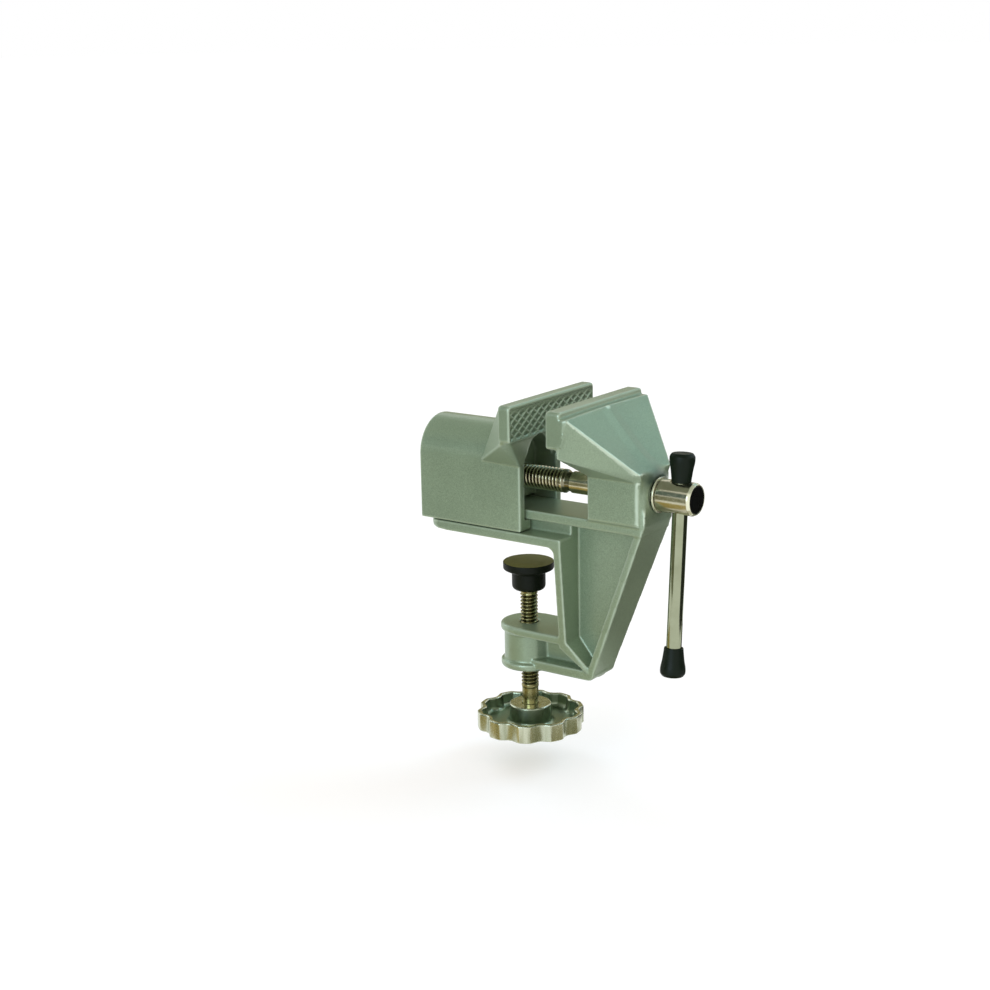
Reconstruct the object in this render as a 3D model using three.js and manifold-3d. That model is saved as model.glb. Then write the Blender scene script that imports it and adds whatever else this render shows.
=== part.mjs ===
// A mini bench vise that clamps to the edge of a table.
// Lengths are millimetres. The bench seat under the arm is z = 0 and the clamp screw stands
// on x = 0, y = 0. The jaw screw runs along x, with its handle at the +x end.
import * as THREE from 'three';
import { ConvexGeometry } from 'three/addons/geometries/ConvexGeometry.js';
import { mergeVertices } from 'three/addons/utils/BufferGeometryUtils.js';
import Module from 'manifold-3d';

const wasm = await Module();
wasm.setup();

// Fits shared by every piece
const runningGap = 0.3;      // between pieces that touch or turn in one another
const overrun = 2;           // how far a cutter passes the face that it leaves

// Facets
const roundSteps = 48;
const smallRoundSteps = 32;
const cornerSteps = 5;
const bevelSteps = 3;
const ballSteps = 15;
const stepsPerLobe = 12;

// Rail, neck and arm of the frame, stacked upward from the bench seat
const arm = { reach: 39.8, width: 30.4, thickness: 3.7, planRadius: 6, noseLength: 9, noseRise: 2.9 };
const neck = { width: 13.8, height: 5.1, endInset: 3.2 };
const rail = { width: 21.4, thickness: 3.8, axisAbove: 11.1 };
const railUnder = arm.thickness + neck.height;
const railTop = railUnder + rail.thickness;
const axisHeight = railTop + rail.axisAbove;

// The two jaw plates share their width and height
const jaw = { width: 60, bottomAboveAxis: 19.6, height: 14.7, cornerRadius: 1.4, edgeRound: 0.5 };
const jawBottom = axisHeight + jaw.bottomAboveAxis;
const jawTop = jawBottom + jaw.height;
const jawOpening = 16.6;     // between the jaw faces at rest

// Fixed jaw: plate, pyramid and block
const fixedJaw = {
  face: 29.2, thickness: 6.3, overlap: 1.6, ledge: 2.8, ledgeDrop: 2.5, flankInset: 0.2, chin: 3.1,
};
const roof = { tailHalfWidth: 13.4, tailAboveAxis: 9.5, ridgeRise: 0.6, hollow: 1.5, hollowMiddle: 5 };
const block = { frontFromFace: 6.8, length: 23.7, width: 23.4, topAboveAxis: 6.5, cornerRadius: 2 };
const blockFront = fixedJaw.face + block.frontFromFace;
const blockRear = blockFront + block.length;
const blockTop = axisHeight + block.topAboveAxis;
const roofStart = fixedJaw.face + fixedJaw.thickness + fixedJaw.ledge;
const roofTop = jawTop - fixedJaw.ledgeDrop;
const roofFlank = jaw.width / 2 - fixedJaw.flankInset;
const roofTail = axisHeight + roof.tailAboveAxis;
const hub = { stand: 1.7, baseRadius: 10.8, faceRadius: 7.6 };
const hubFace = blockRear + hub.stand;

// Column: throat flange, web, sloping back flange, and the foot that carries the clamp screw
const throat = { depth: 22, flange: 3.5, filletRadius: 3, opening: 37.5, lowerWidth: 23 };
const throatRear = throat.depth + throat.flange;
const web = { thickness: 4 };
const back = {
  thickness: 3.2, topWidth: 21, topInset: 0.45, blend: 4.8, lowerWidth: 16, footReach: 35, heelRadius: 3,
};
const foot = {
  height: 18.5, rimRadius: 11.7, coreRadius: 10.3, rimHeight: 3.3, plateHeight: 4,
  plateWidth: 16.6, plateRise: 1, braceThickness: 2.8, cheekWidth: 13, edgeRound: 0.6,
};
const footTop = -throat.opening;
const footBottom = footTop - foot.height;
const plateBottom = footBottom + foot.plateRise;

// Sliding jaw: arched body that straddles the rail, plate, gusset and nut wall
const slidingBody = {
  length: 49.8, width: 29.7, wall: 3.55, frontBehindFace: 6, springAboveAxis: 6.7, edgeRound: 0.7,
};
const slidingPlate = { thickness: 5.3 };
const gusset = { sink: 0.7, reach: 19.3, flankAboveAxis: 7.7, noseAboveAxis: 7.2, inset: 0.8, drop: 1.1 };
const mouth = { depth: 2.6, lowerHalf: 11.6, upperHalf: 12.5, corner: 2.2, rise: 0.5 };
const nutWall = {
  behindFront: 10.6, thickness: 4.5, bossLength: 15, bossRadius: 8.2, railClearance: 0.8, sinkShare: 0.5,
};
const slidingFace = fixedJaw.face - jawOpening;
const bodyFront = slidingFace - slidingBody.frontBehindFace;
const bodyRear = bodyFront - slidingBody.length;
const springHeight = axisHeight + slidingBody.springAboveAxis;

// Jaw screw with its cross-drilled head
const jawScrew = {
  radius: 4.8, shankRadius: 4.4, chamfer: 1, tipBehindNut: 21, threadEndBehindFace: 10, reliefLength: 3.8,
  reliefRadius: 3.9,
};
const head = {
  radius: 6.45, length: 15.1, chamfer: 1.1, shoulder: 0.5, holeFromInner: 7.95, spotRadius: 4.2,
  spotAboveAxis: 5.6,
};
const washer = { radius: 7, thickness: 0.8 };
const clip = { radius: 6.6, thickness: 1, seatDepth: 0.9, mouth: 6, mouthTopShare: 0.5 };
const clipRear = blockFront - runningGap;
const clipFront = clipRear - clip.thickness;
const endPlug = { radius: 5.3, depth: 2.2, stand: 0.15 };
const headInner = hubFace + washer.thickness + runningGap * 2;
const crossHole = headInner + head.holeFromInner;
const headEnd = headInner + head.length;

// Tommy bar, leaning about the screw axis as it hangs at rest
const bar = { radius: 3, length: 83.45, lean: 4.4, end: 2 };
const barCap = { length: 11.4, outerRadius: 4.95, innerRadius: 3.75, topRound: 1.5, flare: 7.6 };
const upperCapMouth = head.spotAboveAxis + runningGap;
const barTop = upperCapMouth + barCap.length - bar.end;
const barBottom = barTop - bar.length;

// Bench clamp: ball-ended screw, swivel pad and handwheel
const pad = {
  clearance: 12.1, radius: 10.4, edge: 2.9, taper: 1.7, cupTopRadius: 7.3, cupRadius: 6.9, cupLength: 7.2,
  mouthRound: 3.4,
};
const clampScrew = {
  radius: 3.6, neckRadius: 2.2, neckLength: 2.6, ballRadius: 3.1, shankLength: 7, shankRadius: 3.35,
};
const wheel = {
  radius: 22.1, lobes: 10, lobeDepth: 1.9, valleyPower: 1.6, wall: 1.9, rimHeight: 8, floor: 2.6,
  hubRadius: 8.6, hubStand: 2.5, belowFoot: 19.6, lobePhase: 9.7, hubDepthShare: 0.86,
};
const padTop = -pad.clearance;
const padBottom = padTop - pad.edge - pad.taper - pad.cupLength;
const ballCentre = padBottom + clampScrew.neckLength + clampScrew.ballRadius;
const wheelTop = footBottom - wheel.belowFoot;
const wheelBottom = wheelTop - wheel.rimHeight;
const wheelHubTop = wheelTop + wheel.hubStand;
const screwBottom = wheelHubTop - (wheelHubTop - wheelBottom) * wheel.hubDepthShare;

// Finishes
const finishes = {
  paint: { color: 0x7d918a, roughness: 0.42, metalness: 0.35 },
  plated: { color: 0xc9c6b4, roughness: 0.18, metalness: 1 },
  zinc: { color: 0xa9a48c, roughness: 0.38, metalness: 1 },
  cast: { color: 0x9fa29c, roughness: 0.4, metalness: 0.9 },
  rubber: { color: 0x1d201e, roughness: 0.55, metalness: 0 },
  plug: { color: 0x0d0e0e, roughness: 0.35, metalness: 0 },
};

// Solids from geometries, and back

function toSolid(geometry) {
  const bare = geometry.clone();
  bare.deleteAttribute('normal');
  bare.deleteAttribute('uv');
  const merged = mergeVertices(bare);
  const index = merged.getIndex().array;
  const kept = [];
  for (let i = 0; i < index.length; i += 3) {
    const [a, b, c] = [index[i], index[i + 1], index[i + 2]];
    if (a !== b && b !== c && c !== a) kept.push(a, b, c);
  }
  const vertProperties = new Float32Array(merged.getAttribute('position').array);
  const triVerts = new Uint32Array(kept);
  return new wasm.Manifold(new wasm.Mesh({ numProp: 3, vertProperties, triVerts }));
}

function toGeometry(solid) {
  const mesh = solid.getMesh();
  const geometry = new THREE.BufferGeometry();
  geometry.setAttribute('position', new THREE.BufferAttribute(new Float32Array(mesh.vertProperties), 3));
  geometry.setIndex(new THREE.BufferAttribute(new Uint32Array(mesh.triVerts), 1));
  geometry.computeVertexNormals();
  return geometry;
}

function join(...solids) {
  return solids.reduce((whole, solid) => whole.add(solid));
}

// Basic forms. An outline is a list of [u, v] points or a Shape.

function shapeOf(outline) {
  if (outline instanceof THREE.Shape) return outline;
  return new THREE.Shape(outline.map(([u, v]) => new THREE.Vector2(u, v)));
}

// Extrudes a shape to a depth, rounding both end rims inside that depth by edgeRound.
function extrude(outline, depth, edgeRound = 0) {
  const geometry = new THREE.ExtrudeGeometry(shapeOf(outline), {
    depth: depth - edgeRound * 2,
    bevelEnabled: edgeRound > 0,
    bevelThickness: edgeRound,
    bevelSize: edgeRound,
    bevelOffset: -edgeRound,
    bevelSegments: bevelSteps,
    curveSegments: cornerSteps,
  });
  geometry.translate(0, 0, edgeRound);
  return geometry;
}

// Outline in x and z, extruded across y and centred on it.
function sideForm(outline, width, edgeRound) {
  const geometry = extrude(outline, width, edgeRound);
  geometry.rotateX(Math.PI / 2);
  geometry.translate(0, width / 2, 0);
  return toSolid(geometry);
}

// Outline in y and z, extruded from x = start to x = end.
function endForm(outline, start, end, edgeRound) {
  const geometry = extrude(outline, end - start, edgeRound);
  const yAxis = new THREE.Vector3(0, 1, 0);
  const zAxis = new THREE.Vector3(0, 0, 1);
  const xAxis = new THREE.Vector3(1, 0, 0);
  geometry.applyMatrix4(new THREE.Matrix4().makeBasis(yAxis, zAxis, xAxis));
  geometry.translate(start, 0, 0);
  return toSolid(geometry);
}

// Outline in x and y, extruded from z = bottom to z = top.
function planForm(outline, bottom, top, edgeRound) {
  const geometry = extrude(outline, top - bottom, edgeRound);
  geometry.translate(0, 0, bottom);
  return toSolid(geometry);
}

// Profile points [radius, height] from bottom to top, turned about the z axis.
function turned(profile, steps = roundSteps) {
  const points = profile.map(([radius, height]) => new THREE.Vector2(radius, height));
  const geometry = new THREE.LatheGeometry(points, steps);
  geometry.rotateX(Math.PI / 2);
  return toSolid(geometry);
}

// The same profile, turned about the jaw screw's axis, with height read along x.
function turnedOnScrew(profile, steps = roundSteps) {
  const points = profile.map(([radius, along]) => new THREE.Vector2(radius, along));
  const geometry = new THREE.LatheGeometry(points, steps);
  geometry.rotateZ(-Math.PI / 2);
  geometry.translate(0, 0, axisHeight);
  return toSolid(geometry);
}

function rod(radius, bottom, top, steps = roundSteps) {
  return [[0, bottom], [radius, bottom], [radius, top], [0, top]];
}

function hull(points) {
  return toSolid(new ConvexGeometry(points.map(([x, y, z]) => new THREE.Vector3(x, y, z))));
}

// Each [x, halfWidth, z] becomes its two mirrored points.
function mirroredHull(halfPoints) {
  return hull(halfPoints.flatMap(([x, y, z]) => [[x, y, z], [x, -y, z]]));
}

function roundedRect(left, right, bottom, top, radius) {
  const shape = new THREE.Shape();
  shape.moveTo(left + radius, bottom);
  shape.lineTo(right - radius, bottom);
  shape.absarc(right - radius, bottom + radius, radius, -Math.PI / 2, 0, false);
  shape.lineTo(right, top - radius);
  shape.absarc(right - radius, top - radius, radius, 0, Math.PI / 2, false);
  shape.lineTo(left + radius, top);
  shape.absarc(left + radius, top - radius, radius, Math.PI / 2, Math.PI, false);
  shape.lineTo(left, bottom + radius);
  shape.absarc(left + radius, bottom + radius, radius, Math.PI, Math.PI * 3 / 2, false);
  return shape;
}

function box(left, right, halfWidth, bottom, top) {
  return sideForm([[left, bottom], [right, bottom], [right, top], [left, top]], halfWidth * 2);
}

// Upright sides under a half-round top, for the sliding body and its tunnel.
function archOutline(halfWidth, bottom) {
  const shape = new THREE.Shape();
  shape.moveTo(-halfWidth, bottom);
  shape.lineTo(halfWidth, bottom);
  const steps = roundSteps / 2;
  for (let i = 0; i <= steps; i += 1) {
    const angle = Math.PI * i / steps;
    shape.lineTo(halfWidth * Math.cos(angle), springHeight + halfWidth * Math.sin(angle));
  }
  return shape;
}

// Frame

// x of the sloping back face at a height, from the rail's rear end to the heel.
function backAt(height) {
  const share = (railTop - height) / (railTop - plateBottom);
  const top = hubFace - back.topInset;
  return top + (back.footReach - top) * share;
}

function backHalfWidthAt(height) {
  const share = (railTop - height) / (railTop - plateBottom);
  return (back.topWidth + (back.lowerWidth - back.topWidth) * share) / 2;
}

// Arm plate, with round corners and a round lower edge at its free end only.
function armPlate() {
  const half = arm.width / 2;
  const plan = roundedRect(-arm.reach, throatRear, -half, half, arm.planRadius);
  const noseStart = arm.noseLength - arm.reach;
  const side = new THREE.Shape();
  side.moveTo(throatRear, 0);
  side.lineTo(throatRear, arm.thickness);
  side.lineTo(-arm.reach, arm.thickness);
  side.absellipse(noseStart, arm.noseRise, arm.noseLength, arm.noseRise, Math.PI, Math.PI * 3 / 2, false);
  const plate = planForm(plan, 0, arm.thickness).intersect(sideForm(side, arm.width + overrun));
  const squareEnd = box(throat.depth - arm.planRadius, throatRear, half, 0, arm.thickness);
  return plate.add(squareEnd);
}

function armAndRail() {
  const neckBar = box(neck.endInset - arm.reach, throatRear, neck.width / 2, arm.thickness, railUnder);
  const railBar = box(-arm.reach, blockRear, rail.width / 2, railUnder, railTop);
  return join(armPlate(), neckBar, railBar);
}

// Flange that faces the bench edge, filleted into the arm and narrowing down to the foot.
function throatFlange() {
  const lower = footTop - foot.rimHeight;
  const filletStart = throat.depth - throat.filletRadius;
  const profile = new THREE.Shape();
  profile.moveTo(throatRear, arm.thickness);
  profile.lineTo(filletStart, arm.thickness);
  profile.absarc(filletStart, -throat.filletRadius, throat.filletRadius, Math.PI / 2, 0, true);
  profile.lineTo(throat.depth, lower);
  profile.lineTo(throatRear, lower);
  const front = filletStart - overrun;
  const taper = mirroredHull([front, throatRear + overrun].flatMap((x) => [
    [x, arm.width / 2, arm.thickness], [x, arm.width / 2, 0], [x, throat.lowerWidth / 2, lower],
  ]));
  return sideForm(profile, arm.width + overrun).intersect(taper);
}

function columnWeb() {
  const front = throat.depth + throat.flange / 2;
  const rimMiddle = footTop - foot.rimHeight / 2;
  const outline = [
    [front, railUnder], [backAt(railUnder), railUnder], [backAt(plateBottom), plateBottom],
    [0, plateBottom], [0, rimMiddle], [front, rimMiddle],
  ];
  return sideForm(outline, web.thickness);
}

function backFlange() {
  const slope = (backAt(railTop) - backAt(plateBottom)) / (railTop - plateBottom);
  const inset = back.thickness * Math.hypot(1, slope);
  return mirroredHull([railTop, plateBottom + back.heelRadius].flatMap((height) => [
    [backAt(height), backHalfWidthAt(height), height],
    [backAt(height) - inset, backHalfWidthAt(height), height],
  ]));
}

// Rounded heel where the foot plate turns up into the back flange.
function heel() {
  const reach = backAt(plateBottom + back.heelRadius) - back.heelRadius;
  const shape = new THREE.Shape();
  const left = reach - back.heelRadius;
  shape.moveTo(left, plateBottom);
  shape.lineTo(reach, plateBottom);
  shape.absarc(reach, plateBottom + back.heelRadius, back.heelRadius, -Math.PI / 2, 0, false);
  shape.lineTo(left, plateBottom + back.heelRadius);
  return sideForm(shape, back.lowerWidth);
}

function footPlates() {
  const rim = foot.rimRadius;
  const topPlate = mirroredHull([footTop, footTop - foot.rimHeight].flatMap((height) => [
    [0, rim, height], [throatRear, throat.lowerWidth / 2, height],
  ]));
  const heelX = backAt(plateBottom + back.heelRadius) - back.heelRadius;
  const bottomPlate = mirroredHull([plateBottom, plateBottom + foot.plateHeight].flatMap((height) => [
    [0, foot.plateWidth / 2, height], [heelX, back.lowerWidth / 2, height],
  ]));
  const cheekTop = footTop - foot.rimHeight / 2;
  const cheeks = sideForm([
    [0, plateBottom], [heelX, plateBottom], [heelX, plateBottom + foot.plateHeight],
    [throat.depth, cheekTop], [0, cheekTop],
  ], foot.cheekWidth);
  return join(topPlate, bottomPlate, cheeks);
}

// Sloping brace from the foot of the throat flange down to the heel.
function brace() {
  const half = throat.lowerWidth / 2;
  const startZ = footTop - foot.rimHeight + foot.braceThickness / 2;
  const endZ = plateBottom + foot.plateHeight / 2;
  const endX = backAt(endZ) - back.thickness / 2;
  const endHalf = backHalfWidthAt(endZ);
  return mirroredHull([
    [throat.depth, half, startZ], [throat.depth, half, startZ - foot.braceThickness],
    [throatRear, half, startZ], [endX, endHalf, endZ + foot.braceThickness], [endX, endHalf, endZ],
  ]);
}

function footBoss() {
  const rim = foot.rimRadius;
  const edge = foot.edgeRound;
  return turned([
    [0, footBottom], [rim - edge, footBottom], [rim, footBottom + edge],
    [rim, footBottom + foot.rimHeight - edge], [foot.coreRadius, footBottom + foot.rimHeight],
    [foot.coreRadius, footTop - foot.rimHeight], [rim, footTop - foot.rimHeight + edge],
    [rim, footTop - edge], [rim - edge, footTop], [0, footTop],
  ]);
}

function jawPlate(face, thickness, outward) {
  const outline = roundedRect(-jaw.width / 2, jaw.width / 2, jawBottom, jawTop, jaw.cornerRadius);
  const [start, end] = outward > 0 ? [face, face + thickness] : [face - thickness, face];
  return endForm(outline, start, end, jaw.edgeRound);
}

// Pyramid behind the fixed plate: a ridged roof that narrows to the block's rear corners.
function fixedPyramid() {
  const plateRear = fixedJaw.face + fixedJaw.thickness - fixedJaw.overlap;
  const side = block.width / 2;
  const corner = block.cornerRadius;
  const solid = mirroredHull([
    [plateRear, roofFlank, roofTop], [roofStart, roofFlank, roofTop],
    [plateRear, roofFlank, jawBottom - fixedJaw.chin],
    [blockFront, side, blockTop], [blockRear - corner, side, blockTop], [blockRear, side - corner, blockTop],
    [blockRear - corner, roof.tailHalfWidth, roofTail], [blockRear, roof.tailHalfWidth - corner, roofTail],
    [roofStart, 0, roofTop + roof.ridgeRise], [blockRear, 0, roofTail + roof.ridgeRise],
  ]);
  const hollow = roofHollow();
  return solid.subtract(hollow).subtract(hollow.mirror([0, 1, 0]));
}

// Sagging hollow in one half of the roof, between its outer edge and the middle ridge.
function roofHollow() {
  const points = [];
  for (let i = 0; i <= cornerSteps; i += 1) {
    const share = i / cornerSteps;
    const x = roofStart + (blockRear - roofStart) * share;
    const edge = roofFlank + (roof.tailHalfWidth - roofFlank) * share;
    const height = roofTop + (roofTail - roofTop) * share;
    const sag = roof.hollow * 4 * share * (1 - share);
    points.push(
      [x, edge, height], [x, edge, height + overrun], [x, 0, height + overrun],
      [x, roof.hollowMiddle, height - sag], [x, 0, height - sag + roof.ridgeRise],
    );
  }
  return hull(points);
}

// Points round a circle that stands square to the jaw screw.
function ringOnScrew(radius, x, steps) {
  const points = [];
  for (let i = 0; i < steps; i += 1) {
    const angle = Math.PI * 2 * i / steps;
    points.push([x, radius * Math.cos(angle), axisHeight + radius * Math.sin(angle)]);
  }
  return points;
}

function rearHub() {
  return hull([
    ...ringOnScrew(hub.baseRadius, blockRear - block.cornerRadius / 2, roundSteps),
    ...ringOnScrew(hub.faceRadius, hubFace, roundSteps),
  ]);
}

function screwBlock() {
  const side = block.width / 2;
  const radius = block.cornerRadius;
  const plan = new THREE.Shape();
  plan.moveTo(blockFront, -side);
  plan.lineTo(blockRear - radius, -side);
  plan.absarc(blockRear - radius, radius - side, radius, -Math.PI / 2, 0, false);
  plan.absarc(blockRear - radius, side - radius, radius, 0, Math.PI / 2, false);
  plan.lineTo(blockFront, side);
  const half = back.topWidth / 2;
  const spine = mirroredHull([
    [blockRear - overrun, half, railTop], [backAt(railTop), half, railTop],
    [hubFace, half, railTop + back.blend], [hubFace, hub.faceRadius, axisHeight],
    [blockRear - overrun, hub.baseRadius, axisHeight],
  ]);
  return join(planForm(plan, railTop, blockTop), spine, rearHub());
}

function clampFrame() {
  const casting = join(
    armAndRail(), throatFlange(), columnWeb(), backFlange(), heel(), footPlates(), brace(), footBoss(),
    jawPlate(fixedJaw.face, fixedJaw.thickness, 1), fixedPyramid(), screwBlock(),
  );
  const screwBore = rod(jawScrew.radius + runningGap, fixedJaw.face - overrun, hubFace + overrun);
  const clampBore = rod(clampScrew.radius + runningGap, footBottom - overrun, footTop + overrun);
  return casting.subtract(turnedOnScrew(screwBore)).subtract(turned(clampBore, smallRoundSteps));
}

// Sliding jaw

function slidingTunnel() {
  const railHalf = rail.width / 2 + runningGap;
  const archHalf = slidingBody.width / 2 - slidingBody.wall;
  const start = bodyRear - overrun;
  const end = slidingFace + overrun;
  const hollow = endForm(archOutline(archHalf, railUnder - runningGap), start, end);
  const groove = box(start, end, neck.width / 2 + runningGap, 0, railUnder);
  const railSlot = box(start, end, railHalf, railUnder - runningGap, railTop + runningGap);
  return join(hollow, groove, railSlot, tunnelMouth());
}

// Wider mouth of the tunnel, cut up to the plate between the gusset's cheeks.
function tunnelMouth() {
  const bottom = axisHeight + gusset.noseAboveAxis;
  const top = jawBottom + mouth.rise;
  const { lowerHalf, upperHalf, corner } = mouth;
  const outline = [
    [-lowerHalf, bottom], [lowerHalf, bottom], [upperHalf, top - corner], [upperHalf - corner, top],
    [corner - upperHalf, top], [-upperHalf, top - corner],
  ];
  return endForm(outline, bodyFront - mouth.depth, slidingFace + overrun);
}

function slidingGusset() {
  const plateRear = slidingFace - slidingPlate.thickness;
  const half = jaw.width / 2;
  const bodyHalf = slidingBody.width / 2;
  return mirroredHull([
    [plateRear, half - gusset.inset, jawTop - gusset.sink],
    [plateRear, half - gusset.inset, jawBottom - gusset.drop],
    [slidingFace - jaw.edgeRound, half - gusset.inset, jawBottom + gusset.inset],
    [bodyFront, bodyHalf, axisHeight + gusset.noseAboveAxis],
    [plateRear - gusset.reach, bodyHalf, axisHeight + gusset.flankAboveAxis],
  ]);
}

function nutBoss() {
  const front = bodyFront - nutWall.behindFront;
  const archHalf = slidingBody.width / 2 - slidingBody.wall * nutWall.sinkShare;
  const wallBottom = railTop + nutWall.railClearance;
  const wall = endForm(archOutline(archHalf, wallBottom), front - nutWall.thickness, front);
  const boss = turnedOnScrew(rod(nutWall.bossRadius, front - nutWall.bossLength, front));
  return join(wall, boss);
}

function slidingJaw() {
  const bodyBottom = arm.thickness + runningGap;
  const outline = archOutline(slidingBody.width / 2, bodyBottom);
  const shell = endForm(outline, bodyRear, bodyFront, slidingBody.edgeRound);
  const outer = join(shell, slidingGusset(), jawPlate(slidingFace, slidingPlate.thickness, -1));
  const hollowed = join(outer.subtract(slidingTunnel()), nutBoss());
  const screwBore = rod(jawScrew.radius + runningGap, bodyRear - overrun, slidingFace + overrun);
  return hollowed.subtract(turnedOnScrew(screwBore));
}

// Jaw screw group, turned about its own axis by the bar's lean

function jawScrewSolid() {
  const nutRear = bodyFront - nutWall.behindFront - nutWall.bossLength;
  const tip = nutRear - jawScrew.tipBehindNut;
  const threadEnd = fixedJaw.face - jawScrew.threadEndBehindFace;
  const reliefEnd = threadEnd + jawScrew.reliefLength;
  const grooveFront = clipFront - runningGap;
  const grooveRear = clipRear + runningGap;
  const grooveRadius = jawScrew.shankRadius - clip.seatDepth;
  const plugFloor = headEnd - endPlug.depth;
  const profile = [
    [0, tip], [jawScrew.radius - jawScrew.chamfer, tip], [jawScrew.radius, tip + jawScrew.chamfer],
    [jawScrew.radius, threadEnd], [jawScrew.reliefRadius, threadEnd], [jawScrew.reliefRadius, reliefEnd],
    [jawScrew.shankRadius, reliefEnd], [jawScrew.shankRadius, grooveFront], [grooveRadius, grooveFront],
    [grooveRadius, grooveRear], [jawScrew.radius, grooveRear], [jawScrew.radius, headInner],
    [head.radius - head.shoulder, headInner], [head.radius, headInner + head.shoulder],
    [head.radius, headEnd - head.chamfer], [head.radius - head.chamfer / 2, headEnd],
    [endPlug.radius + runningGap, headEnd], [endPlug.radius + runningGap, plugFloor], [0, plugFloor],
  ];
  const turnedBar = turnedOnScrew(profile);
  const hole = rod(bar.radius + runningGap, -head.radius - overrun, head.radius + overrun);
  const spot = turned(rod(head.spotRadius, head.spotAboveAxis, head.radius + overrun), smallRoundSteps);
  const cutter = join(turned(hole, smallRoundSteps), spot, spot.mirror([0, 0, 1]));
  return turnedBar.subtract(cutter.translate(crossHole, 0, axisHeight));
}

function thrustWasher() {
  const start = hubFace + runningGap;
  const bore = jawScrew.radius + runningGap;
  return turnedOnScrew([
    [bore, start], [washer.radius, start], [washer.radius, start + washer.thickness],
    [bore, start + washer.thickness], [bore, start],
  ]);
}

// Spring clip in the screw's groove, open on one side to snap on.
function retainingClip() {
  const bore = jawScrew.shankRadius - clip.seatDepth + runningGap;
  const ring = turnedOnScrew([
    [bore, clipFront], [clip.radius, clipFront], [clip.radius, clipRear], [bore, clipRear], [bore, clipFront],
  ]);
  const mouthBottom = axisHeight - clip.radius - overrun;
  const mouthTop = axisHeight - bore * clip.mouthTopShare;
  return ring.subtract(box(clipFront - overrun, clipRear + overrun, clip.mouth / 2, mouthBottom, mouthTop));
}

function endPlugSolid() {
  const start = headEnd - endPlug.depth + runningGap;
  return turnedOnScrew(rod(endPlug.radius, start, headEnd + endPlug.stand));
}

// The bar and its caps are drawn upright about z, with zero at the screw axis.

function barSolid() {
  return turned(rod(bar.radius, barBottom, barTop), smallRoundSteps);
}

// Flared sleeve with a rounded outer end, open at the end that the bar enters.
function capSolid() {
  const bore = bar.radius + runningGap;
  const floor = barCap.length - bar.end + runningGap;
  const points = [[bore, 0], [barCap.innerRadius, 0], [barCap.outerRadius, barCap.flare]];
  const roundCentre = barCap.length - barCap.topRound;
  for (let i = 0; i <= cornerSteps; i += 1) {
    const angle = (Math.PI / 2) * i / cornerSteps;
    points.push([
      barCap.outerRadius - barCap.topRound + barCap.topRound * Math.cos(angle),
      roundCentre + barCap.topRound * Math.sin(angle),
    ]);
  }
  points.push([0, barCap.length], [0, floor], [bore, floor], [bore, 0]);
  return turned(points, smallRoundSteps);
}

// Bench clamp

function sphereArc(radius, centre, from, to, steps) {
  const points = [];
  for (let i = 0; i <= steps; i += 1) {
    const angle = from + (to - from) * i / steps;
    points.push([radius * Math.cos(angle), centre + radius * Math.sin(angle)]);
  }
  return points;
}

function padSolid() {
  const socket = clampScrew.ballRadius + runningGap;
  const mouth = clampScrew.neckRadius + runningGap;
  const mouthAngle = -Math.acos(mouth / socket);
  const roundCentre = padBottom + pad.mouthRound;
  const lip = [];
  for (let i = 0; i <= cornerSteps; i += 1) {
    const angle = -Math.PI / 2 + (Math.PI / 2) * i / cornerSteps;
    lip.push([
      pad.cupRadius - pad.mouthRound + pad.mouthRound * Math.cos(angle),
      roundCentre + pad.mouthRound * Math.sin(angle),
    ]);
  }
  return turned([
    [mouth, padBottom], ...lip,
    [pad.cupRadius, padTop - pad.edge - pad.taper], [pad.cupTopRadius, padTop - pad.edge - pad.taper],
    [pad.radius, padTop - pad.edge], [pad.radius, padTop], [0, padTop],
    ...sphereArc(socket, ballCentre, Math.PI / 2, mouthAngle, ballSteps), [mouth, padBottom],
  ]);
}

function clampScrewSolid() {
  const bodyTop = padBottom - runningGap;
  const neckAngle = -Math.acos(clampScrew.neckRadius / clampScrew.ballRadius);
  const shankTop = wheelHubTop + clampScrew.shankLength;
  return turned([
    [0, screwBottom], [clampScrew.shankRadius, screwBottom], [clampScrew.shankRadius, shankTop],
    [clampScrew.radius, shankTop + clampScrew.radius - clampScrew.shankRadius], [clampScrew.radius, bodyTop],
    [clampScrew.neckRadius, bodyTop],
    ...sphereArc(clampScrew.ballRadius, ballCentre, neckAngle, Math.PI / 2, ballSteps),
  ], smallRoundSteps);
}

// Outline of the wheel: a circle that dips between its lobes, in valleys narrower than the lobes.
function lobedOutline(inset) {
  const steps = wheel.lobes * stepsPerLobe;
  const phase = THREE.MathUtils.degToRad(wheel.lobePhase);
  const points = [];
  for (let i = 0; i < steps; i += 1) {
    const angle = Math.PI * 2 * i / steps;
    const dip = ((1 - Math.cos((angle - phase) * wheel.lobes)) / 2) ** wheel.valleyPower;
    const radius = wheel.radius - inset - wheel.lobeDepth * dip;
    points.push([radius * Math.cos(angle), radius * Math.sin(angle)]);
  }
  return points;
}

function wheelSolid() {
  const rim = planForm(lobedOutline(0), wheelBottom, wheelTop);
  const dish = planForm(lobedOutline(wheel.wall), wheelBottom + wheel.floor, wheelTop + overrun);
  const hubSolid = turned(rod(wheel.hubRadius, wheelBottom, wheelHubTop));
  const bore = rod(clampScrew.shankRadius + runningGap, screwBottom - runningGap, wheelHubTop + overrun);
  return join(rim.subtract(dish), hubSolid).subtract(turned(bore, smallRoundSteps));
}

// Assembly

function piece(name, solid, finish) {
  const mesh = new THREE.Mesh(toGeometry(solid), new THREE.MeshStandardMaterial(finishes[finish]));
  mesh.name = name;
  return mesh;
}

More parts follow.
